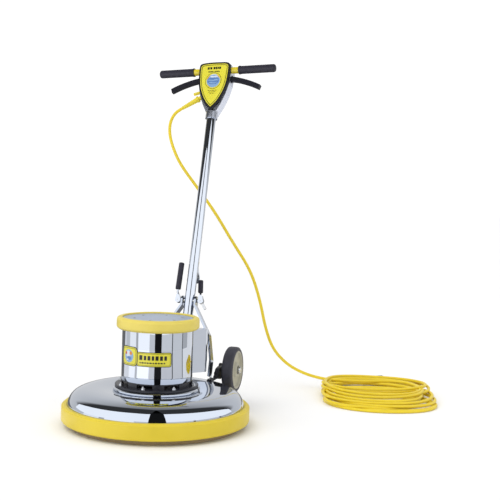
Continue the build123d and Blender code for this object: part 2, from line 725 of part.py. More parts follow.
with BuildPart() as power_switch:
    with BuildSketch(head_plane.offset(-21.8)):
        with Locations((0, -52)):
            Rectangle(46, 30)
    extrude(amount=30)
save(power_switch, "power_switch")

button_dir = -bar_dir * 0.966 - t_dir * 0.259
button_root = head_point(-30, -66, -5)
with BuildPart() as lock_button:
    with BuildSketch(Plane(origin=button_root + button_dir * 13, x_dir=head_front, z_dir=button_dir)):
        Circle(5.0)
    extrude(amount=36)
    fillet(lock_button.edges().filter_by(GeomType.CIRCLE).sort_by(Axis(origin=button_root, direction=button_dir))[-1], 2)
    with BuildSketch(Plane(origin=button_root + button_dir * 9, x_dir=head_front, z_dir=button_dir)):
        Circle(7.5)
    extrude(amount=4.05)
save(lock_button, "lock_button")

with BuildPart() as lock_spring:
    with BuildSketch(Plane(origin=button_root + button_dir * -5.5, x_dir=head_front, z_dir=button_dir)):
        Circle(4.6)
        Circle(3.4, mode=Mode.SUBTRACT)
    extrude(amount=14.4)
save(lock_spring, "lock_spring")

# ================================================================ cord
relief_dir = (-bar_dir * 0.878 - t_dir * 0.479)
relief_root = head_point(-27, -79.1, -5)
relief_end = 98.0
with BuildPart() as strain_relief:
    with BuildSketch(Plane(origin=relief_root + relief_dir * 16, x_dir=head_front, z_dir=relief_dir)):
        Circle(7.0)
    extrude(amount=20)
    with BuildSketch(Plane(origin=relief_root + relief_dir * 33.5, x_dir=head_front, z_dir=relief_dir)):
        Circle(11)
    extrude(amount=7)
    with BuildSketch(Plane(origin=relief_root + relief_dir * 39.5, x_dir=head_front, z_dir=relief_dir)):
        Circle(8.6)
    extrude(amount=relief_end - 39.5, taper=1.9)
save(strain_relief, "strain_relief")

cord_start = relief_root + relief_dir * relief_end
route = [cord_start,
         cord_start + relief_dir * 22,
         Vector(-146.2, 496, 936.1), Vector(-155.3, 494, 909.6), Vector(-154, 491.5, 873.6), Vector(-140.6, 492.5, 829.6),
         Vector(-117, 501, 776), Vector(-62, 523, 700), Vector(-3, 552, 616), Vector(54, 587, 512), Vector(113, 620, 416),
         Vector(144, 645, 310), Vector(161, 662, 215), Vector(187, 677, 137), Vector(237, 693, 82), Vector(300, 704, 51),
         Vector(367, 708.5, 37)]
runs = [(b - a).length for a, b in zip(route[:-1], route[1:])]
radii = []
for k in range(1, len(route) - 1):
    turn = math.radians((route[k] - route[k - 1]).get_angle(route[k + 1] - route[k]))
    radii.append(0.45 * min(runs[k - 1], runs[k]) / math.tan(turn / 2))
print("cord runs", [round(r, 1) for r in runs])
print("cord radii", [round(r, 1) for r in radii])
with BuildPart() as cord_tube:
    with BuildLine() as cord_path:
        FilletPolyline(*route, radius=radii)
    with BuildSketch(Plane(origin=cord_start, z_dir=relief_dir)):
        Circle(cord_r)
    sweep(path=cord_path.line)
line_length = cord_path.wires()[0].length
print("cord tube length", round(line_length, 1), "volume", round(cord_tube.part.volume, 1),
      "section times length", round(math.pi * cord_r ** 2 * line_length, 1))
save(cord_tube, "cord_tube")

ang = math.radians(coil_turn_deg)
u_axis = Vector(math.cos(ang), math.sin(ang), 0)
v_axis = Vector(-math.sin(ang), math.cos(ang), 0)
coil_origin = Vector(coil_c[0], coil_c[1], 0)
end_dir = (route[-1] - route[-2]).normalized()
with BuildPart() as cord_coil:
    with BuildSketch(Plane(origin=coil_origin, x_dir=u_axis, z_dir=(0, 0, 1))):
        Ellipse(coil_a, coil_b)
    extrude(amount=coil_h)
    fillet(cord_coil.edges().sort_by(Axis.Z)[-1], 14)
    split(bisect_by=Plane(origin=route[-1] + end_dir * 0.4, z_dir=end_dir), keep=Keep.TOP)
    split(bisect_by=Plane(origin=(368.7, 0, 0), z_dir=(1, 0, 0)), keep=Keep.TOP)
save(cord_coil, "cord_coil")

plug_dir = (u_axis * 0.94 + v_axis * 0.342)
plug_origin = coil_origin + v_axis * 249 + Vector(0, 0, 14.1)
with BuildPart() as plug_body:
    with BuildSketch(Plane(origin=plug_origin, z_dir=plug_dir)):
        Circle(6)
    with BuildSketch(Plane(origin=plug_origin + plug_dir * 26, z_dir=plug_dir)):
        Circle(9)
    loft()
    with BuildSketch(Plane(origin=plug_origin + plug_dir * 26, x_dir=plug_dir.cross(Vector(0, 0, 1)), z_dir=plug_dir)):
        RectangleRounded(34, 28, 8)
    extrude(amount=36)
save(plug_body, "plug_body")

with BuildPart() as plug_prongs:
    with BuildSketch(Plane(origin=plug_origin + plug_dir * 62, x_dir=plug_dir.cross(Vector(0, 0, 1)), z_dir=plug_dir)):
        with Locations((-6.35, -3), (6.35, -3)):
            Rectangle(1.5, 6.3)
    extrude(amount=17)
    with BuildSketch(Plane(origin=plug_origin + plug_dir * 62, x_dir=plug_dir.cross(Vector(0, 0, 1)), z_dir=plug_dir)):
        with Locations((0, 6.5)):
            Circle(2.4)
    extrude(amount=20)
save(plug_prongs, "plug_prongs")
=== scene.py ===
import bpy
import math
import bmesh
import numpy as np
from mathutils import Vector, Matrix


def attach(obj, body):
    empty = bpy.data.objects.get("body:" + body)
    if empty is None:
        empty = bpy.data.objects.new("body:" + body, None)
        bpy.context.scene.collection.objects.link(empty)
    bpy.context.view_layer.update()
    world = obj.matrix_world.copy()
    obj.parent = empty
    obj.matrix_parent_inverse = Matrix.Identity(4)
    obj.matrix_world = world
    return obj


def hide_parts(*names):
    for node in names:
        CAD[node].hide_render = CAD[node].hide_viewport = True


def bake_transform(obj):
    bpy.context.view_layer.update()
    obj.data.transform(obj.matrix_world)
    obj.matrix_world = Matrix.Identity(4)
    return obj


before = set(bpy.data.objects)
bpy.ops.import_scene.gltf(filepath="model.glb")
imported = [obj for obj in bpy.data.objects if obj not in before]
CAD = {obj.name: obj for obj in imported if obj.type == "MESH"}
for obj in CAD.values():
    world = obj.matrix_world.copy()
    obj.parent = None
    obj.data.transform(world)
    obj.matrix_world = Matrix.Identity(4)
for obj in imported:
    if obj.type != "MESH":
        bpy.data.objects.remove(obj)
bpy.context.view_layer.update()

MM = 0.001


# ------------------------------------------------------------------ frames
lean = math.radians(16.83)
tw = math.radians(7.0)
T = Vector((0, math.sin(lean), math.cos(lean)))
N = Vector((0, math.cos(lean), -math.sin(lean)))
PIVOT = Vector((0, 287.8, 335.0))
BX = Vector((1, 0, 0)) * math.cos(tw) - N * math.sin(tw)
HF = BX.cross(T)
H0 = PIVOT + T * 790.3


def head(x, y, z):
    return (H0 + BX * x + T * y + HF * z) * MM


def yoke(x, y, z):
    return (PIVOT + Vector((x, 0, 0)) + T * y - N * z) * MM


# ------------------------------------------------------------------ materials
def new_mat(name):
    m = bpy.data.materials.new(name)
    m.use_nodes = True
    nt = m.node_tree
    b = nt.nodes["Principled BSDF"]
    return m, nt, b


def noise(nt, scale, detail=4.0, rough=0.55, stretch=None, coord="Object"):
    tc = nt.nodes.new("ShaderNodeTexCoord")
    n = nt.nodes.new("ShaderNodeTexNoise")
    n.inputs["Scale"].default_value = scale
    n.inputs["Detail"].default_value = detail
    n.inputs["Roughness"].default_value = rough
    if stretch:
        mp = nt.nodes.new("ShaderNodeMapping")
        mp.inputs["Scale"].default_value = stretch
        nt.links.new(tc.outputs[coord], mp.inputs["Vector"])
        nt.links.new(mp.outputs["Vector"], n.inputs["Vector"])
    else:
        nt.links.new(tc.outputs[coord], n.inputs["Vector"])
    return n


def ramp(nt, src, stops):
    r = nt.nodes.new("ShaderNodeValToRGB")
    el = r.color_ramp.elements
    while len(el) < len(stops):
        el.new(0.5)
    for e, (p, c) in zip(el, stops):
        e.position = p
        e.color = (c[0], c[1], c[2], 1) if hasattr(c, "__len__") else (c, c, c, 1)
    nt.links.new(src, r.inputs["Fac"])
    return r


def bump(nt, b, src, strength, dist):
    bp = nt.nodes.new("ShaderNodeBump")
    bp.inputs["Strength"].default_value = strength
    bp.inputs["Distance"].default_value = dist
    nt.links.new(src, bp.inputs["Height"])
    nt.links.new(bp.outputs["Normal"], b.inputs["Normal"])
    return bp


def mix_rgb(nt, fac, a, c):
    m = nt.nodes.new("ShaderNodeMix")
    m.data_type = "RGBA"
    nt.links.new(fac, m.inputs["Factor"])
    m.inputs["A"].default_value = (*a, 1)
    m.inputs["B"].default_value = (*c, 1)
    return m.outputs["Result"]


def metal(name, col, rough=(0.03, 0.08), scale=30.0, wave=0.0, wave_scale=9.0, tint=0.04, bump_s=0.0):
    m, nt, b = new_mat(name)
    b.inputs["Metallic"].default_value = 1.0
    n = noise(nt, scale)
    r = ramp(nt, n.outputs["Fac"], [(0.35, rough[0]), (0.7, rough[1])])
    nt.links.new(r.outputs["Color"], b.inputs["Roughness"])
    n2 = noise(nt, scale * 0.3, 3)
    c2 = tuple(max(0, x - tint) for x in col)
    r2 = ramp(nt, n2.outputs["Fac"], [(0.3, col), (0.75, c2)])
    nt.links.new(r2.outputs["Color"], b.inputs["Base Color"])
    if wave:
        w = noise(nt, wave_scale, 2, 0.4)
        bump(nt, b, w.outputs["Fac"], wave, 0.002)
    elif bump_s:
        w = noise(nt, scale * 9, 5, 0.6)
        bump(nt, b, w.outputs["Fac"], bump_s, 0.0004)
    return m


def plastic(name, col, col2=None, rough=(0.35, 0.5), scale=60.0, bump_s=0.12, bump_scale=900.0, dist=0.0004, coat=0.0, spec=0.5, sheen=0.0, stretch=None):
    m, nt, b = new_mat(name)
    n = noise(nt, scale, 4, stretch=stretch)
    c2 = col2 or tuple(x * 0.82 for x in col)
    r = ramp(nt, n.outputs["Fac"], [(0.3, col), (0.75, c2)])
    nt.links.new(r.outputs["Color"], b.inputs["Base Color"])
    n2 = noise(nt, scale * 2.3, 4)
    r2 = ramp(nt, n2.outputs["Fac"], [(0.3, rough[0]), (0.7, rough[1])])
    nt.links.new(r2.outputs["Color"], b.inputs["Roughness"])
    b.inputs["Specular IOR Level"].default_value = spec
    if coat:
        b.inputs["Coat Weight"].default_value = coat
        b.inputs["Coat Roughness"].default_value = 0.08
    if sheen:
        b.inputs["Sheen Weight"].default_value = sheen
    if bump_s:
        n3 = noise(nt, bump_scale, 6, 0.6)
        bump(nt, b, n3.outputs["Fac"], bump_s, dist)
    return m


CHROME = metal("chrome_plate", (0.60, 0.635, 0.70), (0.015, 0.04), 24, tint=0.03)
CHROME_DECK = metal("chrome_deck", (0.56, 0.60, 0.675), (0.012, 0.035), 18, wave=0.008, wave_scale=7, tint=0.03)
ALU = metal("polished_aluminium", (0.66, 0.69, 0.78), (0.24, 0.34), 40, tint=0.03, bump_s=0.01)
ARM = metal("arm_plate", (0.47, 0.51, 0.59), (0.07, 0.14), 24, tint=0.03)
RAW = metal("raw_casting", (0.42, 0.42, 0.44), (0.4, 0.6), 80, bump_s=0.5)
STEEL = metal("bright_steel", (0.62, 0.63, 0.65), (0.18, 0.34), 120, tint=0.08, bump_s=0.05)
CORE = metal("core_steel", (0.30, 0.30, 0.32), (0.35, 0.5), 200, bump_s=0.3)
HARD = metal("hard_steel", (0.45, 0.45, 0.47), (0.22, 0.36), 160, bump_s=0.1)
COPPER = metal("copper_winding", (0.62, 0.30, 0.13), (0.3, 0.45), 240, bump_s=0.5)
DARKMETAL = plastic("dark_end_bell", (0.022, 0.023, 0.034), (0.014, 0.015, 0.022), (0.26, 0.42), 90, 0.15, 700, 0.0004)
BUMPER = plastic("yellow_bumper", (0.74, 0.575, 0.026), (0.69, 0.53, 0.022), (0.34, 0.48), 14, 0.10, 500, 0.0006, spec=0.45)
RINGYEL = plastic("yellow_ring", (0.78, 0.64, 0.12), (0.73, 0.59, 0.10), (0.36, 0.5), 14, 0.10, 500, 0.0006, spec=0.45)
YPAINT = plastic("yellow_paint", (0.76, 0.62, 0.02), (0.68, 0.53, 0.015), (0.16, 0.28), 40, 0.04, 1400, 0.0002, coat=0.4)
YMOULD = plastic("yellow_moulding", (0.84, 0.70, 0.04), (0.74, 0.59, 0.02), (0.3, 0.42), 80, 0.03, 1200, 0.0003)
YCORD = plastic("yellow_cord", (0.85, 0.655, 0.020), (0.80, 0.60, 0.015), (0.30, 0.44), 25, 0.02, 1500, 0.0002, spec=0.5)
GRIP = plastic("dark_grip", (0.026, 0.024, 0.040), (0.018, 0.017, 0.030), (0.48, 0.64), 90, 0.25, 1100, 0.0005, spec=0.4)
TRIG = plastic("dark_trigger", (0.012, 0.012, 0.021), (0.008, 0.008, 0.014), (0.42, 0.55), 70, 0.06, 900, 0.0003, spec=0.28)
BLACK = plastic("black_plastic", (0.012, 0.012, 0.015), (0.008, 0.008, 0.010), (0.36, 0.52), 90, 0.10, 900, 0.0003, spec=0.4)
CASTBLK = plastic("cast_black", (0.018, 0.018, 0.026), (0.010, 0.010, 0.015), (0.40, 0.62), 120, 0.5, 260, 0.0010, spec=0.4)
TYRE = plastic("tyre_rubber", (0.050, 0.050, 0.068), (0.036, 0.036, 0.050), (0.50, 0.66), 60, 0.3, 700, 0.0008)
HUB = plastic("hub_plastic", (0.47, 0.455, 0.36), (0.41, 0.39, 0.30), (0.38, 0.52), 50, 0.12, 700, 0.0005)
COVER = plastic("cover_grey", (0.33, 0.40, 0.53), (0.30, 0.37, 0.50), (0.34, 0.5), 150, 0.25, 1600, 0.0004, coat=0.15)
NYLON = plastic("white_nylon", (0.78, 0.77, 0.72), (0.72, 0.71, 0.66), (0.4, 0.5), 80, 0.1)
PAD = plastic("pad_fibre", (0.46, 0.34, 0.19), (0.30, 0.21, 0.11), (0.8, 0.95), 420, 1.0, 420, 0.003, sheen=0.3)
DRIVER = plastic("driver_plastic", (0.035, 0.035, 0.04), (0.02, 0.02, 0.022), (0.5, 0.7), 200, 0.5, 500, 0.001)
LAB_Y = plastic("label_yellow", (0.76, 0.70, 0.040), (0.72, 0.65, 0.03), (0.24, 0.32), 20, 0.02, 900, 0.0002, coat=0.2)
LAB_K = plastic("label_black", (0.012, 0.014, 0.010), (0.010, 0.010, 0.008), (0.28, 0.36), 20, 0.02, 900, 0.0002)
LAB_W = plastic("label_white", (0.66, 0.72, 0.80), (0.62, 0.68, 0.76), (0.3, 0.4), 20, 0.02, 900, 0.0002)
LAB_B = plastic("label_blue", (0.10, 0.22, 0.50), (0.08, 0.18, 0.42), (0.3, 0.4), 20, 0.02, 900, 0.0002)
LAB_LB = plastic("label_light_blue", (0.26, 0.42, 0.68), (0.20, 0.36, 0.60), (0.3, 0.4), 20, 0.02, 900, 0.0002)
LAB_R = plastic("label_red", (0.50, 0.06, 0.03), (0.44, 0.05, 0.03), (0.3, 0.4), 20, 0.02, 900, 0.0002)
LAB_O = plastic("label_orange", (0.70, 0.24, 0.04), (0.64, 0.20, 0.03), (0.3, 0.4), 20, 0.02, 900, 0.0002)


# ------------------------------------------------------------------ mesh helpers
def finish_mesh(ob, mat, angle=35):
    ob.data.materials.clear()
    ob.data.materials.append(mat)
    ob.data.shade_smooth()
    if angle:
        ob.data.set_sharp_from_angle(angle=math.radians(angle))


def mesh_object(name, verts, faces, mat, angle=35):
    me = bpy.data.meshes.new(name)
    me.from_pydata([tuple(v) for v in verts], [], faces)
    me.validate()
    bm = bmesh.new()
    bm.from_mesh(me)
    bmesh.ops.recalc_face_normals(bm, faces=bm.faces)
    bm.to_mesh(me)
    bm.free()
    ob = bpy.data.objects.new(name, me)
    bpy.context.scene.collection.objects.link(ob)
    finish_mesh(ob, mat, angle)
    return ob


def arc_corner(p0, p1, p2, r, n):
    """Rounds the corner p1 of a flat outline."""
    p0, p1, p2 = (np.array(p, float) for p in (p0, p1, p2))
    a, b = p0 - p1, p2 - p1
    la, lb = np.linalg.norm(a), np.linalg.norm(b)
    if r <= 0 or la < 1e-9 or lb < 1e-9:
        return [tuple(p1)]
    a, b = a / la, b / lb
    ang = math.acos(max(-1, min(1, float(a @ b))))
    if ang > math.pi - 0.02:
        return [tuple(p1)]
    d = min(r / math.tan(ang / 2), la * 0.49, lb * 0.49)
    rr = d * math.tan(ang / 2)
    bis = (a + b) / np.linalg.norm(a + b)
    c = p1 + bis * (rr / math.sin(ang / 2))
    s, e = p1 + a * d, p1 + b * d
    v0, v1 = s - c, e - c
    sweep = math.pi - ang
    cr = v0[0] * v1[1] - v0[1] * v1[0]
    sg = 1 if cr > 0 else -1
    out = []
    for i in range(n + 1):
        t = sg * sweep * i / n
        out.append((c[0] + v0[0] * math.cos(t) - v0[1] * math.sin(t), c[1] + v0[0] * math.sin(t) + v0[1] * math.cos(t)))
    return out


def rounded(pts, r=1.0, n=4, closed=True):
    """pts are (x, y) or (x, y, radius)."""
    out = []
    m = len(pts)
    for i, p in enumerate(pts):
        rr = p[2] if len(p) > 2 else r
        if not closed and i in (0, m - 1):
            out.append((p[0], p[1]))
            continue
        out += arc_corner(pts[i - 1][:2], p[:2], pts[(i + 1) % m][:2], rr, n)
    return out


def smooth_line(pts, n=10):
    """Catmull-Rom through flat points."""
    P = [np.array(p, float) for p in pts]
    P = [2 * P[0] - P[1]] + P + [2 * P[-1] - P[-2]]
    out = []
    for i in range(1, len(P) - 2):
        for k in range(n):
            t = k / n
            a, b, c, d = P[i - 1], P[i], P[i + 1], P[i + 2]
            out.append(tuple(0.5 * ((2 * b) + (c - a) * t + (2 * a - 5 * b + 4 * c - d) * t * t + (3 * b - a - 3 * c + d) * t ** 3)))
    out.append(tuple(P[-2]))
    return out


def lathe(name, prof, mat, body, repl=(), seg=160, origin=(0, 0, 0), axis=(0, 0, 1), angle=35, closed=True):
    """prof: (radius, distance along the axis) in mm."""
    ax = Vector(axis).normalized()
    u = ax.orthogonal().normalized()
    v = ax.cross(u)
    o = Vector(origin)
    n = len(prof)
    verts, faces = [], []
    for i in range(seg):
        a = 2 * math.pi * i / seg
        d = u * math.cos(a) + v * math.sin(a)
        for r, h in prof:
            verts.append((o + d * r + ax * h) * MM)
    for i in range(seg):
        j = (i + 1) % seg
        for k in range(n if closed else n - 1):
            l = (k + 1) % n
            faces.append((i * n + k, j * n + k, j * n + l, i * n + l))
    ob = mesh_object(name, verts, faces, mat, angle)
    bm = bmesh.new()
    bm.from_mesh(ob.data)
    bmesh.ops.remove_doubles(bm, verts=bm.verts, dist=1e-7)
    bmesh.ops.recalc_face_normals(bm, faces=bm.faces)
    bm.to_mesh(ob.data)
    bm.free()
    finish_mesh(ob, mat, angle)
    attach(ob, body)
    if repl:
        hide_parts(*repl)
    return ob


def slab(name, outline, place, z0, z1, mat, body, hole=None, angle=30, subdiv=0):
    """Flat plate of an outline in a local plane; place(x, y, z) gives metres. hole: a second outline cut out (same count)."""
    n = len(outline)
    verts, faces = [], []
    for z in (z0, z1):
        verts += [place(x, y, z) for x, y in outline]
    for i in range(n):
        j = (i + 1) % n
        faces.append((i, j, n + j, n + i))
    if hole:
        base = len(verts)
        for z in (z0, z1):
            verts += [place(x, y, z) for x, y in hole]
        for i in range(n):
            j = (i + 1) % n
            faces.append((base + j, base + i, base + n + i, base + n + j))
            faces.append((n + i, n + j, base + n + j, base + n + i))
            faces.append((j, i, base + i, base + j))
    else:
        faces.append(tuple(range(n, 2 * n)))
        faces.append(tuple(reversed(range(n))))
    ob = mesh_object(name, verts, faces, mat, angle)
    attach(ob, body)
    return ob


def scaled(outline, d):
    """Offsets a closed convex-ish outline inwards by d."""
    P = np.array(outline, float)
    c = P.mean(0)
    Q = []
    m = len(P)
    for i in range(m):
        a, b, e = P[i - 1], P[i], P[(i + 1) % m]
        t1 = (b - a) / (np.linalg.norm(b - a) + 1e-9)
        t2 = (e - b) / (np.linalg.norm(e - b) + 1e-9)
        nrm = np.array([-(t1 + t2)[1], (t1 + t2)[0]])
        nrm /= np.linalg.norm(nrm) + 1e-9
        if nrm @ (c - b) < 0:
            nrm = -nrm
        Q.append(tuple(b + nrm * d))
    return Q


# ------------------------------------------------------------------ CAD nodes: finishes
finish = {
    "axle": STEEL, "axle_brackets": CASTBLK, "axle_fittings": STEEL, "ball_bearings": HARD, "cam_lever_left": CHROME, "cam_lever_right": CHROME,
    "capacitor_box": CHROME, "capacitors": BLACK, "clamp_bolt": STEEL, "cooling_fan": BLACK, "cord_hook": CHROME, "cover_screws": STEEL,
    "floor_pad": PAD, "front_label": LAB_Y, "front_plate": BLACK, "gear_case": CHROME, "handle_tube": CHROME, "handlebar": YPAINT,
    "head_case": ALU, "hex_bolts": STEEL, "lever_grip_left": GRIP, "lever_grip_right": GRIP, "lock_button": YMOULD, "lock_spring": STEEL,
    "lower_end_bell": DARKMETAL, "motor_shaft": HARD, "pad_driver": DRIVER, "pivot_sleeve": STEEL, "planet_carrier": HARD,
    "planet_gear_1": NYLON, "planet_gear_2": NYLON, "planet_gear_3": NYLON, "plate_screws": STEEL, "plug_body": BLACK, "plug_prongs": STEEL,
    "power_switch": BLACK, "ring_gear": HARD, "rotor_core": CORE, "stator_core": CORE, "stator_windings": COPPER, "strain_relief": YMOULD,
    "trigger_left": TRIG, "trigger_pins": STEEL, "trigger_right": TRIG, "upper_end_bell": RAW, "yoke_arms": ARM, "motor_label": LAB_Y,
    "grip_left": GRIP, "grip_right": GRIP, "deck_apron": CHROME_DECK, "deck_bumper": BUMPER, "motor_can": CHROME, "motor_bumper": RINGYEL,
    "motor_top_cover": COVER, "tyre_left": TYRE, "tyre_right": TYRE, "wheel_hub_left": HUB, "wheel_hub_right": HUB, "cord_tube": YCORD,
    "cord_coil": YCORD,
}
for name, ob in CAD.items():
    finish_mesh(ob, finish[name], 32)

# ------------------------------------------------------------------ deck
shoulder = [(126, 103.2), (150, 106), (172, 107.4), (195, 107), (215, 104), (232, 97.8), (243.5, 89), (251, 78), (255.6, 67), (257, 58)]
deck_out = smooth_line(shoulder, 14)
deck_prof = ([(101.5, 101.0), (101.5, 103.0), (124, 103.05)] + deck_out
             + [(257, 40), (257, 25), (256.6, 24.2), (255.4, 24.2), (255, 25), (255, 58)]
             + [(r - 1.2, z - 1.6) for r, z in reversed(deck_out[3:-10])] + [(126, 101.2)])
deck = lathe("deck_shell", deck_prof, CHROME_DECK, "base", ("deck_apron",), seg=256, angle=28)

bump_prof = rounded([(257.1, 15, 0.5), (273, 15, 6), (273, 57.5, 3.0), (269.5, 58.6, 2.0), (267.5, 62, 2.5), (257.1, 62, 0.8)], n=6)
lathe("deck_bumper_ring", bump_prof, BUMPER, "base", ("deck_bumper",), seg=256, angle=40)

# ------------------------------------------------------------------ gear case flange and end bell
case_prof = rounded([(31, 52, 1), (42, 52, 1), (42, 59, 1), (100, 59, 1), (100, 103.3, 0.3), (124.6, 103.3, 0.8), (126, 105, 1.2), (126, 109.4, 1.6), (123.6, 111.2, 1.2),
                     (122.6, 112.4, 0.8), (90, 112.4, 0.4), (90, 66, 1), (31, 66, 1)], n=4)
lathe("gear_flange", case_prof, CHROME, "base", ("gear_case",), seg=224, angle=30)

# ------------------------------------------------------------------ motor
can_prof = rounded([(101.0, 134.0, 0.4), (103.2, 134.0, 0.8), (103.2, 300, 0.4), (101.0, 300, 0.4)], n=3)
lathe("motor_shell", can_prof, CHROME, "base", ("motor_can",), seg=224, angle=30)
ring_prof = rounded([(103.3, 281, 0.5), (113, 281, 2), (119.0, 285.5, 5), (120, 290, 6), (120, 308, 5), (117.5, 314, 4), (112, 316, 3),
                     (104.8, 316, 2.2), (103.3, 313.8, 0.6)], n=6)
lathe("motor_ring", ring_prof, RINGYEL, "base", ("motor_bumper",), seg=224, angle=40)
cover_prof = rounded([(0.02, 309, 0), (94.2, 309, 0.2), (94.2, 300, 0.2), (103.0, 300, 0.3), (103.0, 311.6, 1.6), (99.5, 312, 1.0), (96.5, 311.2, 1), (0.02, 311.8, 0)], n=4)
lathe("motor_lid", cover_prof, COVER, "base", ("motor_top_cover",), seg=192, angle=40)

# ------------------------------------------------------------------ wheels
for side, tag in ((-1, "left"), (1, "right")):
    o = (0, 279, 125.5)
    ax = (side, 0, 0)
    ty = rounded([(59.5, 134.5, 0.8), (65.5, 133.8, 2), (70.6, 137.5, 3), (71.9, 143, 4), (71.9, 160.5, 4), (70.6, 166, 3), (65.5, 169.4, 2), (61.5, 169.2, 0.8), (59.5, 168.2, 0.5)], n=5)
    lathe(f"tyre_tread_{tag}", ty, TYRE, f"wheel_{tag}", (f"tyre_{tag}",), seg=144, origin=o, axis=ax)
    hub = rounded([(8.0, 133.1, 0.3), (16, 133.1, 1.5), (18, 141, 3), (46, 141, 3), (51, 135.2, 2), (59.4, 135.2, 0.8), (59.4, 168.6, 0.8), (56.5, 169.6, 1.2), (54.5, 169.6, 1.2),
                   (52.5, 165.0, 1.5), (50.5, 161.4, 2.0), (25, 159.6, 3), (21, 165.6, 1.5), (15.5, 169.8, 1.2), (8.0, 169.8, 0.3)], n=4)
    lathe(f"hub_disc_{tag}", hub, HUB, f"wheel_{tag}", (f"wheel_hub_{tag}",), seg=144, origin=o, axis=ax)
    well = rounded([(8.1, 169.85, 0.1), (13.2, 169.85, 0.1), (13.2, 170.5, 0.2), (8.1, 170.5, 0.2)], n=2)
    lathe(f"hub_washer_{tag}", well, BLACK, f"wheel_{tag}", (), seg=96, origin=o, axis=ax)

# ------------------------------------------------------------------ handlebar grips
for side, tag in ((-1, "left"), (1, "right")):
    g = [(11.2, 81), (12.6, 81), (14.3, 81.6), (14.6, 83), (14.6, 86), (14.1, 87.4), (13.3, 88.2)]
    x = 88.2
    while x < 200:
        g += [(13.25, x + 1.2), (13.5, x + 2.2), (13.5, x + 4.4), (13.25, x + 5.4)]
        x += 6.0
    g += [(13.5, 203.2), (13.3, 205.8), (12.3, 208.2), (10.2, 210.2), (7, 211), (0.05, 211.0), (0.05, 205.2), (11.2, 205.2)]
    lathe(f"bar_grip_{tag}", g, GRIP, "handle", (f"grip_{tag}",), seg=72, origin=H0, axis=BX * side, angle=45)

# ------------------------------------------------------------------ handle tube
tube_prof = [(14.225, -62), (15.575, -62), (15.875, -61.7), (15.875, 680.3), (14.225, 680.3)]
lathe("main_tube", tube_prof, CHROME, "handle", ("handle_tube",), seg=96, origin=PIVOT, axis=T, angle=40)

# ------------------------------------------------------------------ front label, generic marks only
half = [(0, 18.2), (26, 17.4), (41.5, 15.6), (48.9, 8), (48.9, -18), (45, -55), (36.8, -81.5), (26.5, -103), (13.7, -121.5), (0, -135.5)]
rim = smooth_line(half, 6)
shield = rim + [(-x, y) for x, y in reversed(rim[1:-1])]
slab("shield_line", scaled(shield, 3.0), head, 20.75, 20.98, LAB_K, "handle", hole=scaled(shield, 4.9))


def marks(name, polys, place, z0, z1, mat, body):
    """One mesh of several small flat shapes."""
    verts, faces = [], []
    for p in polys:
        n = len(p)
        b = len(verts)
        for z in (z0, z1):
            verts += [place(x, y, z) for x, y in p]
        for i in range(n):
            j = (i + 1) % n
            faces.append((b + i, b + j, b + n + j, b + n + i))
        faces.append(tuple(range(b + n, b + 2 * n)))
        faces.append(tuple(reversed(range(b, b + n))))
    ob = mesh_object(name, verts, faces, mat, 30)
    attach(ob, body)
    return ob


def bars(x0, y0, h, widths, gap):
    out = []
    x = x0
    for w in widths:
        if w > 0:
            out.append([(x, y0), (x + w, y0), (x + w, y0 + h), (x, y0 + h)])
        x += abs(w) + gap
    return out


def ring_pts(cx, cy, r, n=40, a0=0.0, a1=360.0):
    m = n if abs(a1 - a0) >= 360 else n + 1
    return [(cx + r * math.cos(math.radians(a0 + (a1 - a0) * i / n)), cy + r * math.sin(math.radians(a0 + (a1 - a0) * i / n))) for i in range(m)]


def chord(cx, cy, r, a0, a1, n=14):
    return ring_pts(cx, cy, r, n, a0, a1)


marks("label_rows", bars(-25.5, -1.5, 8.2, (5.2, 3.0, 6.0, -2.4, 6.2, 5.4, 5.0, 6.4), 1.3)
      + bars(-21, -12.5, 4.4, (3.4, 4.2, 2.8, 4.6, -1.6, 4.4, 3.2, 4.8, 3.0), 1.1)
      + bars(-16, -78.6, 1.7, (7, 5, 9, 6), 1.6) + bars(-13, -84.0, 1.5, (8, 6, 8), 1.6) + bars(-8.5, -89.0, 1.3, (6, 9), 1.5),
      head, 20.75, 20.98, LAB_K, "handle")
ec = (0.5, -43.0)
slab("emblem_ring", ring_pts(*ec, 29.0, 56), head, 20.75, 20.96, LAB_K, "handle", hole=ring_pts(*ec, 27.7, 56))
marks("emblem_base", [ring_pts(*ec, 24.0, 48)], head, 20.75, 21.02, LAB_LB, "handle")
marks("emblem_red", [chord(ec[0], ec[1], 23.9, 122, 172), chord(ec[0], ec[1], 23.9, 212, 248)], head, 20.75, 21.10, LAB_R, "handle")
marks("emblem_orange", [chord(ec[0], ec[1], 23.9, 18, 66)], head, 20.75, 21.10, LAB_O, "handle")
marks("emblem_white", [chord(ec[0], ec[1], 23.8, 68, 120), [(-15, -28), (-8, -25), (2, -27), (12, -24.5), (17, -29), (6, -31), (-6, -31)]],
      head, 20.75, 21.14, LAB_W, "handle")
marks("emblem_blue", [[(-22, -43), (-19.5, -35.5), (-12, -32), (12, -32), (19.5, -35.5), (22, -43), (19, -50), (11, -55), (-11, -55), (-19, -50)]],
      head, 20.75, 21.18, LAB_B, "handle")
marks("emblem_streaks", [[(-25, -42), (-15, -38), (-2, -40.5), (10, -37.5), (25, -41.5), (12, -42.5), (-2, -44.5), (-14, -42)],
                         [(-18, -50), (-8, -47), (5, -49.5), (18, -47.5), (8, -52.5), (-8, -52.5)]], head, 20.75, 21.26, LAB_LB, "handle")

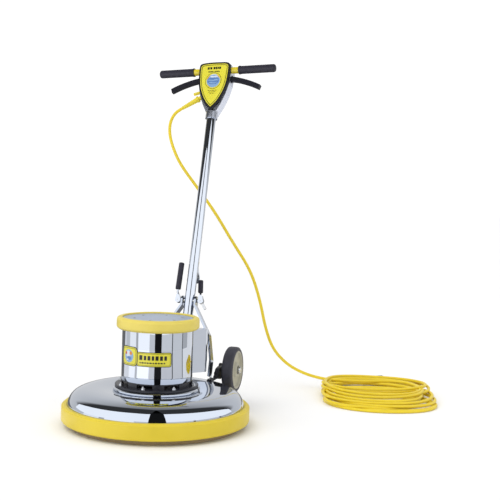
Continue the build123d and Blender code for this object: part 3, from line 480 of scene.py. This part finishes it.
# ------------------------------------------------------------------ badge and name strip on the can, generic marks only
def can_patch(name, a0, a1, z0, z1, rc, h0, h1, mat, repl=()):
    """Rounded patch wrapped round the can between two bearings in degrees and two heights in mm."""
    R = 103.2
    s0, s1 = math.radians(a0) * R, math.radians(a1) * R
    rc = min(rc, (s1 - s0) / 2, (z1 - z0) / 2)
    cols = []
    for i in range(9):
        t = math.pi / 2 * i / 8
        cols.append((s0 + rc * (1 - math.cos(t)), rc * (1 - math.sin(t))))
    m = max(1, int((s1 - s0 - 2 * rc) / 3.0))
    for i in range(1, m):
        cols.append((s0 + rc + (s1 - s0 - 2 * rc) * i / m, 0.0))
    for i in range(9):
        t = math.pi / 2 * i / 8
        cols.append((s1 - rc * (1 - math.sin(t)), rc * (1 - math.cos(t))))
    cols[0] = (cols[0][0], rc * 0.97)
    cols[-1] = (cols[-1][0], rc * 0.97)
    verts, faces = [], []
    for s_, d in cols:
        a = s_ / R
        for h in (h0, h1):
            for z in (z0 + d, z1 - d):
                verts.append(((R + h) * math.cos(a) * MM, (R + h) * math.sin(a) * MM, z * MM))
    n = len(cols)
    for i in range(n - 1):
        a, b = 4 * i, 4 * (i + 1)
        faces += [(a + 2, b + 2, b + 3, a + 3), (a, a + 1, b + 1, b), (a, b, b + 2, a + 2), (a + 1, a + 3, b + 3, b + 1)]
    faces += [(0, 2, 3, 1), (4 * n - 4, 4 * n - 3, 4 * n - 1, 4 * n - 2)]
    ob = mesh_object(name, verts, faces, mat, 30)
    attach(ob, "base")
    if repl:
        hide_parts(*repl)
    return ob


def inset(a0, a1, z0, z1, d):
    k = math.degrees(d / 103.2)
    return a0 + k, a1 - k, z0 + d, z1 - d


strip = (-104.5, -47.5, 184.5, 226.0)
badge = (-139.0, -103.0, 182.5, 238.0)
can_patch("name_strip", *strip, 6, 0.1, 0.60, LAB_K, ("motor_label",))
can_patch("name_strip_face", *inset(*strip, 1.9), 4.6, 0.1, 0.72, LAB_Y)
can_patch("name_strip_line", *inset(*strip, 3.7), 3.6, 0.1, 0.80, LAB_K)
can_patch("name_strip_field", *inset(*strip, 4.7), 3.0, 0.1, 0.88, LAB_Y)
can_patch("badge_edge", *badge, 13, 0.1, 0.94, LAB_K)
can_patch("badge_face", *inset(*badge, 2.0), 11.4, 0.1, 1.02, LAB_Y)
can_patch("badge_line", *inset(*badge, 4.4), 9.4, 0.1, 1.10, LAB_K)
can_patch("badge_field", *inset(*badge, 5.6), 8.6, 0.1, 1.18, LAB_Y)


def disc(name, da, dz, r, h, mat, squash=1.0):
    k = math.degrees(r / 103.2)
    can_patch(name, -121 + da - k, -121 + da + k, 210.3 + dz - r * squash, 210.3 + dz + r * squash, r * min(1, squash), 0.1, h, mat)


disc("badge_disc", 0, 0, 18.5, 1.26, LAB_LB)
disc("badge_white", -1.5, 5.5, 9.5, 1.34, LAB_W)
disc("badge_orange", 4.6, 8.5, 5.4, 1.42, LAB_O)
disc("badge_red", -6.8, 7.5, 4.2, 1.42, LAB_R)
disc("badge_blue", 1.0, -6.0, 8.5, 1.40, LAB_B, 0.6)
disc("badge_white_low", -3.0, -10.5, 4.5, 1.46, LAB_W, 0.5)
x = -99.3
for i, w in enumerate((6.6, 5.0, 5.6, 4.8, 6.0, 5.6, 5.2)):
    can_patch(f"name_bar_{i}", x, x + w * 0.80, 203.5, 217.0 - (i > 0) * 1.0, 1.0, 0.1, 0.96, LAB_K)
    x += w + 1.05
x = -98.8
for i, w in enumerate((2.2, 3.4, 2.6, 3.0, 3.6, 2.4, 3.2, 2.8, 3.4, 2.6)):
    can_patch(f"name_small_{i}", x, x + w, 193.6, 197.6, 0.6, 0.1, 0.96, LAB_K)
    x += w + 1.3

# ------------------------------------------------------------------ strain relief
rd = (BX * -0.878 - T * 0.479).normalized()
rr = H0 + BX * -27 + T * -79.1 + HF * -5
boot = [(5.4, 16), (6.9, 16), (6.9, 33.5), (10.4, 33.5), (11, 34.1), (11, 39.6), (10.2, 40.5), (9.4, 41.2)]
s = 43.0
k = 0
while s < 94:
    base = 9.0 - (s - 41) * 0.052
    boot += [(base - 0.9, s), (base - 0.9, s + 1.2), (base, s + 1.9), (base, s + 4.3), (base - 0.9, s + 5.0)]
    s += 6.2
boot += [(6.1, 97.2), (5.5, 98), (5.35, 98)]
lathe("cord_boot", boot, YMOULD, "handle", ("strain_relief",), seg=48, origin=rr, axis=rd, angle=40)


# ------------------------------------------------------------------ cord
route = [tuple(rr + rd * 98), tuple(rr + rd * 120),
         (-146.2, 496, 936.1), (-155.3, 494, 909.6), (-154, 491.5, 873.6), (-140.6, 492.5, 829.6),
         (-117, 501, 776), (-62, 523, 700), (-3, 552, 616), (54, 587, 512), (113, 620, 416),
         (144, 645, 310), (161, 662, 215), (187, 677, 137), (237, 693, 82), (300, 704, 51), (367, 708.5, 37)]
CR = 5.25
CC = np.array([566.0, 632.0])
ca = math.radians(14.5)
UA = np.array([math.cos(ca), math.sin(ca)])
VA = np.array([-math.sin(ca), math.cos(ca)])


def coil_points():
    """Loose turns laid clockwise on each other: for each turn the place of its back run, right end, front run and left end."""
    VB = (150, 190, 164, 206, 128, 214, 180, 80, 108, 200, 222, 20, 50)
    VF = (-128, -48, -158, -84, -186, -24, -196, -140, -210, -106, -218, -226, -234)
    UR = (150, 182, 158, 190, 146, 176, 186, 152, 190, 166, 144, 180, 188)
    UL = (-176, -186, -168, -190, -180, -172, -190, -178, -186, -170, -188, -180, -184)
    UB = (10, -20, 24, 0, -12, 16, -24, 8, 20, -8, 12, -16, 0)
    UF = (-6, 18, -14, 4, 20, -18, 8, -10, 14, 0, -20, 10, 0)
    ZT = (42, 42, 40, 38, 35, 32, 29, 26, 22, 18, 14, 10, 6)
    e = 2 / 2.25
    pts = []

    def quarter(p, q, ends_first, n=9):
        # p and q are the extreme points; the run leaves an end across the coil and a side along it
        for i in range(n):
            t = math.pi / 2 * i / n
            if ends_first:
                x = q[0] + (p[0] - q[0]) * math.cos(t) ** e
                y = p[1] + (q[1] - p[1]) * math.sin(t) ** e
            else:
                x = p[0] + (q[0] - p[0]) * math.sin(t) ** e
                y = q[1] + (p[1] - q[1]) * math.cos(t) ** e
            w = i / n
            pts.append((x, y, p[2] * (1 - w) + q[2] * w))

    n_t = len(VB)
    for k in range(n_t):
        z = ZT[k]
        z2 = ZT[min(k + 1, n_t - 1)]
        vb, vf = VB[k], VF[k]
        vn = VB[k + 1] if k + 1 < n_t else 120
        back = (UB[k], vb, z)
        right = (UR[k], 0.5 * (vb + vf), z)
        front = (UF[k], vf, z)
        left = (UL[k], 0.5 * (vf + vn), 0.5 * (z + z2))
        quarter(back, right, False)
        quarter(right, front, True)
        quarter(front, left, False)
        if k + 1 < n_t:
            quarter(left, (UB[k + 1], VB[k + 1], z2), True)
        else:
            pts.append(left)
    return np.array(pts)


def settle(P, d, steps):
    """Keeps the strand's spacing, pushes crossing strands apart and lets them rest on the floor."""
    P = P.copy()
    keep = P.copy()
    n = len(P)
    L = np.linalg.norm(np.diff(P, axis=0), axis=1)
    idx = np.arange(n)
    for it in range(steps):
        P[2:, 2] -= 0.045
        D = P[:, None, :] - P[None, :, :]
        dist = np.sqrt((D ** 2).sum(2)) + 1e-9
        near = (dist < d) & (np.abs(idx[:, None] - idx[None, :]) > 4)
        ii, jj = np.nonzero(np.triu(near))
        if len(ii):
            v = P[ii] - P[jj]
            flat = np.abs(v[:, 2]) < 0.5
            v[flat, 2] = 0.8
            v = v * np.array([0.4, 0.4, 1.0])
            ln = np.linalg.norm(v, axis=1, keepdims=True)
            push = v / ln * (d - dist[ii, jj])[:, None] * 0.30
            np.add.at(P, ii, push)
            np.add.at(P, jj, -push)
        for _ in range(2):
            seg = np.diff(P, axis=0)
            ln = np.linalg.norm(seg, axis=1)
            corr = seg * ((ln - L) / ln)[:, None] * 0.25
            P[:-1] += corr
            P[1:] -= corr
        for _ in range(2):
            P[2:-2] += (P[1:-3] + P[3:-1]) * 0.10 - (P[:-4] + P[4:]) * 0.025 - P[2:-2] * 0.15
            P[1:-1, 2] += (0.5 * (P[:-2, 2] + P[2:, 2]) - P[1:-1, 2]) * 0.3
        P[:, 2] = np.maximum(P[:, 2], CR + 0.15)
        P[:2] = keep[:2]
        P[-2:] = keep[-2:]
    return P


def resample(P, step):
    seg = np.linalg.norm(np.diff(P, axis=0), axis=1)
    s_ = np.concatenate([[0], np.cumsum(seg)])
    m = max(3, int(round(s_[-1] / step)) + 1)
    q = np.linspace(0, s_[-1], m)
    return np.stack([np.interp(q, s_, P[:, k]) for k in range(3)], 1)


flat = coil_points()
coil3 = np.zeros_like(flat)
coil3[:, :2] = CC + flat[:, :1] * UA + flat[:, 1:2] * VA
coil3[:, 2] = flat[:, 2]
plug_o = CC + VA * 249
pd = UA * 0.94 + VA * 0.342
pd = pd / np.linalg.norm(pd)
# the free end leaves the back of the coil towards its plug
tail = np.array([(*(plug_o + pd * q), h) for q, h in ((-112, 10), (-76, 12), (-44, 13.6), (-20, 14.1), (2, 14.1))])
start = np.array([(367, 708.5, 37), (433, 711, 38.5), (497, 722, 39)])
line = resample(np.vstack([start, coil3[3:], tail]), 18.0)
for _ in range(6):
    line[1:-2] += (0.5 * (line[:-3] + line[2:-1]) - line[1:-2]) * 0.5
settled = settle(line, 2 * CR + 0.4, 150)

ctrl = [tuple(p) for p in route] + [tuple(p) for p in settled[2:-1:2]] + [tuple(settled[-1])]

cu = bpy.data.curves.new("cord_line", "CURVE")
cu.dimensions = "3D"
cu.resolution_u = 6
sp = cu.splines.new("NURBS")
sp.points.add(len(ctrl) - 1)
for p, c in zip(sp.points, ctrl):
    p.co = (c[0] * MM, c[1] * MM, c[2] * MM, 1)
sp.order_u = 3
sp.use_endpoint_u = True
line_ob = bpy.data.objects.new("cord_line", cu)
bpy.context.scene.collection.objects.link(line_ob)
bpy.context.view_layer.update()
lm = bpy.data.meshes.new_from_object(line_ob)
path = [v.co.copy() for v in lm.vertices]
bpy.data.objects.remove(line_ob)
length = sum((b - a).length for a, b in zip(path[:-1], path[1:]))


def sweep_tube(name, path, r, mat, sides=14):
    verts, faces = [], []
    up = Vector((0, 0, 1))
    t0 = (path[1] - path[0]).normalized()
    nrm = (up - t0 * up.dot(t0)).normalized()
    m = len(path)
    for i, p in enumerate(path):
        t = (path[min(i + 1, m - 1)] - path[max(i - 1, 0)]).normalized()
        nrm = (nrm - t * nrm.dot(t)).normalized()
        bi = t.cross(nrm)
        for k in range(sides):
            a = 2 * math.pi * k / sides
            verts.append(p + (nrm * math.cos(a) + bi * math.sin(a)) * r)
    for i in range(m - 1):
        for k in range(sides):
            l = (k + 1) % sides
            faces.append((i * sides + k, i * sides + l, (i + 1) * sides + l, (i + 1) * sides + k))
    faces.append(tuple(range(sides)))
    faces.append(tuple(reversed(range((m - 1) * sides, m * sides))))
    return mesh_object(name, verts, faces, mat, 60)


cord = sweep_tube("power_cord", path, CR * MM, YCORD)
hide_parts("cord_tube", "cord_coil")
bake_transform(cord)
print("cord length", round(length, 3), "points", len(ctrl), "top", round(max(p.z for p in path[200:]), 4))

# ------------------------------------------------------------------ stage
def plane(name, size, z, mat):
    me = bpy.data.meshes.new(name)
    me.from_pydata([(-size, -size, z), (size, -size, z), (size, size, z), (-size, size, z)], [], [(0, 1, 2, 3)])
    ob = bpy.data.objects.new(name, me)
    bpy.context.scene.collection.objects.link(ob)
    me.materials.append(mat)
    return ob


FLOOR, fnt, fb = new_mat("studio_floor")
fb.inputs["Base Color"].default_value = (0.92, 0.92, 0.92, 1)
fb.inputs["Roughness"].default_value = 0.9
fb.inputs["Specular IOR Level"].default_value = 0.1
plane("floor", 60, 0.0, FLOOR)

# studio surround: white walls, a bright bank above and behind the camera, a darker ceiling and one narrow dark gap
th = math.radians(14.5)
world = bpy.data.worlds.new("studio")
bpy.context.scene.world = world
world.use_nodes = True
nt = world.node_tree
nt.nodes.clear()
out = nt.nodes.new("ShaderNodeOutputWorld")
tc = nt.nodes.new("ShaderNodeTexCoord")
sep = nt.nodes.new("ShaderNodeSeparateXYZ")
nt.links.new(tc.outputs["Generated"], sep.inputs[0])


def mth(op, a, b=None, c=None):
    n = nt.nodes.new("ShaderNodeMath")
    n.operation = op
    for i, v in enumerate((a, b, c)):
        if v is None:
            continue
        if isinstance(v, (int, float)):
            n.inputs[i].default_value = v
        else:
            nt.links.new(v, n.inputs[i])
    return n.outputs[0]


def smoothstep(v, lo, hi, a=0.0, b=1.0):
    n = nt.nodes.new("ShaderNodeMapRange")
    n.interpolation_type = "SMOOTHSTEP"
    nt.links.new(v, n.inputs["Value"])
    n.inputs["From Min"].default_value = lo
    n.inputs["From Max"].default_value = hi
    n.inputs["To Min"].default_value = a
    n.inputs["To Max"].default_value = b
    return n.outputs["Result"]


# azimuth measured from the direction of the camera, positive towards its right
cam_dir = Vector((math.sin(th), -math.cos(th), 0))
right = Vector((math.cos(th), math.sin(th), 0))
fx = mth("ADD", mth("MULTIPLY", sep.outputs[0], cam_dir.x), mth("MULTIPLY", sep.outputs[1], cam_dir.y))
rx = mth("ADD", mth("MULTIPLY", sep.outputs[0], right.x), mth("MULTIPLY", sep.outputs[1], right.y))
az = mth("MULTIPLY", mth("ARCTAN2", rx, fx), 180 / math.pi)
el = mth("MULTIPLY", mth("ARCSINE", sep.outputs[2]), 180 / math.pi)
absaz = mth("ABSOLUTE", az)

# walls: bright behind the machine and fading upwards, low at the sides, dark above
back = smoothstep(absaz, 116, 136)
rear = smoothstep(el, 20, 90, 0.78, 0.24)
side = mth("MULTIPLY_ADD", smoothstep(el, 13, 17), 0.05 - 0.72, 0.72)
val = mth("ADD", mth("MULTIPLY", rear, back), mth("MULTIPLY", side, mth("SUBTRACT", 1.0, back)))
# narrow dark gap beside the camera
gap = mth("MULTIPLY", smoothstep(az, -3.5, -2.0), smoothstep(az, 17, 18.5, 1, 0))
val = mth("MULTIPLY", val, mth("MULTIPLY_ADD", gap, -0.975, 1.0))
bg = nt.nodes.new("ShaderNodeBackground")
nt.links.new(val, bg.inputs["Strength"])
bg.inputs["Color"].default_value = (1, 1, 1, 1)
white = nt.nodes.new("ShaderNodeBackground")
white.inputs["Strength"].default_value = 1.35
lp = nt.nodes.new("ShaderNodeLightPath")
mx = nt.nodes.new("ShaderNodeMixShader")
nt.links.new(lp.outputs["Is Camera Ray"], mx.inputs[0])
nt.links.new(bg.outputs[0], mx.inputs[1])
nt.links.new(white.outputs[0], mx.inputs[2])
soft = nt.nodes.new("ShaderNodeBackground")
nt.links.new(mth("ADD", mth("MULTIPLY", smoothstep(el, -10, 70), 0.38), 0.86), soft.inputs["Strength"])
mx2 = nt.nodes.new("ShaderNodeMixShader")
nt.links.new(lp.outputs["Is Diffuse Ray"], mx2.inputs[0])
nt.links.new(mx.outputs[0], mx2.inputs[1])
nt.links.new(soft.outputs[0], mx2.inputs[2])
nt.links.new(mx2.outputs[0], out.inputs["Surface"])

sun = bpy.data.lights.new("key", "SUN")
sun.energy = 1.0
sun.angle = math.radians(50)
so = bpy.data.objects.new("key", sun)
bpy.context.scene.collection.objects.link(so)
so.rotation_euler = (math.radians(38), math.radians(-12), math.radians(-20))
so.visible_glossy = False


def card(name, az0, az1, r0, r1, z, level, glow=0.0):
    """Flat card lying round the machine, seen only in its reflections; azimuth as for the surround."""
    m, cnt, cb = new_mat(name)
    cb.inputs["Base Color"].default_value = (level, level, level * 1.02, 1)
    cb.inputs["Roughness"].default_value = 0.9
    cb.inputs["Specular IOR Level"].default_value = 0.05
    if glow:
        cb.inputs["Emission Color"].default_value = (0.97, 0.985, 1.0, 1)
        cb.inputs["Emission Strength"].default_value = glow
    vs, fs = [], []
    steps = max(2, int(abs(az1 - az0) / 3))
    for i in range(steps + 1):
        a = math.radians(az0 + (az1 - az0) * i / steps)
        d = cam_dir * math.cos(a) + right * math.sin(a)
        vs += [(d.x * r0, d.y * r0, z), (d.x * r1, d.y * r1, z)]
    for i in range(steps):
        fs.append((2 * i, 2 * i + 1, 2 * i + 3, 2 * i + 2))
    me = bpy.data.meshes.new(name)
    me.from_pydata(vs, [], fs)
    me.materials.append(m)
    ob = bpy.data.objects.new(name, me)
    bpy.context.scene.collection.objects.link(ob)
    ob.visible_camera = False
    ob.visible_diffuse = False
    ob.visible_shadow = False


def bank(name, az0, az1, z0, z1, level, r=2.0):
    """Upright glowing card two metres round the machine, seen only in its reflections."""
    m, cnt, cb = new_mat(name)
    cb.inputs["Base Color"].default_value = (0, 0, 0, 1)
    cb.inputs["Specular IOR Level"].default_value = 0.0
    cb.inputs["Emission Color"].default_value = (0.97, 0.985, 1.0, 1)
    cb.inputs["Emission Strength"].default_value = level
    vs, fs = [], []
    steps = max(2, int(abs(az1 - az0) / 3))
    for i in range(steps + 1):
        a = math.radians(az0 + (az1 - az0) * i / steps)
        d = cam_dir * math.cos(a) + right * math.sin(a)
        top_z = z1 if not isinstance(z1, tuple) else z1[0] + (z1[1] - z1[0]) * min(1.5, max(0.0, (math.degrees(abs(a)) - 28) / 62)) ** 1.3
        vs += [(d.x * r, d.y * r, z0), (d.x * r, d.y * r, top_z)]
    for i in range(steps):
        fs.append((2 * i, 2 * i + 1, 2 * i + 3, 2 * i + 2))
    me = bpy.data.meshes.new(name)
    me.from_pydata(vs, [], fs)
    me.materials.append(m)
    ob = bpy.data.objects.new(name, me)
    bpy.context.scene.collection.objects.link(ob)
    ob.visible_camera = False
    ob.visible_diffuse = False
    ob.visible_shadow = False
    ob.visible_transmission = False


for tag, a0, a1, k in (("left", -114.0, -3.5, 1.0), ("right", 17.5, 114.0, 1.0)):
    bank(f"bank_high_{tag}", a0, a1, 0.36, (2.55, 1.35), 1.45)
for n_b, (a0, a1, lv) in enumerate(((-112.0, -92.0, 0.8), (-92.0, -66.0, 1.30), (-66.0, -58.0, 0.62), (-58.0, -20.0, 1.45), (-20.0, -3.5, 0.85),
                                    (17.5, 50.5, 0.90), (50.5, 53.5, 0.12), (53.5, 88.0, 0.86), (88.0, 91.0, 0.12), (91.0, 112.0, 0.6))):
    bank(f"bank_low_{n_b}", a0, a1, 0.0, 0.36, lv)
bank("bank_gap", -3.5, 17.5, 0.02, 3.4, 0.012)
card("card_front", -3.0, 17.5, 0.31, 25, 0.0010, 0.012)
card("card_left", -180.0, -122.0, 0.31, 25, 0.0010, 0.16)
card("card_left_far", -122.0, -96.0, 0.31, 25, 0.0010, 0.6, 0.35)
card("card_left_bright", -92.0, -66.0, 0.31, 25, 0.0010, 0.6, 0.75)
card("card_left_line", -66.0, -58.0, 0.31, 25, 0.0010, 0.55, 0.10)
card("card_left_near", -58.0, -20.0, 0.31, 25, 0.0010, 0.6, 0.95)
card("card_left_grey", -20.0, -3.0, 0.31, 25, 0.0010, 0.8)
card("card_right_near", 17.5, 50.5, 0.31, 25, 0.0010, 0.72)
card("card_right_line", 50.5, 53.5, 0.31, 25, 0.0010, 0.10)
card("card_right_grey", 53.5, 88.0, 0.31, 25, 0.0010, 0.60, 0.15)
card("card_right_line2", 88.0, 91.0, 0.31, 25, 0.0010, 0.12)
card("card_right_edge", 150.0, 180.0, 0.31, 25, 0.0010, 0.22)

# ------------------------------------------------------------------ camera
camd = bpy.data.cameras.new("camera")
camd.sensor_width = 36
camd.sensor_fit = "HORIZONTAL"
camd.lens = 36 * 967.77 / 500
cam = bpy.data.objects.new("camera", camd)
bpy.context.scene.collection.objects.link(cam)
P = math.radians(3.10)
fh = Vector((-math.sin(th), math.cos(th), 0))
zz = Vector((0, 0, 1))
fwd = fh * math.cos(P) - zz * math.sin(P)
upv = fh * math.sin(P) + zz * math.cos(P)
rl = math.radians(1.7875)
ex = right * math.cos(rl) + upv * math.sin(rl)
ey = -right * math.sin(rl) + upv * math.cos(rl)
Mx = Matrix((ex, ey, -fwd)).transposed().to_4x4()
Mx.translation = Vector((0.9528, -2.6457, 0.66917))
cam.matrix_world = Mx
camd.clip_end = 200
bpy.context.scene.camera = cam
bpy.context.scene.view_settings.view_transform = "Standard"
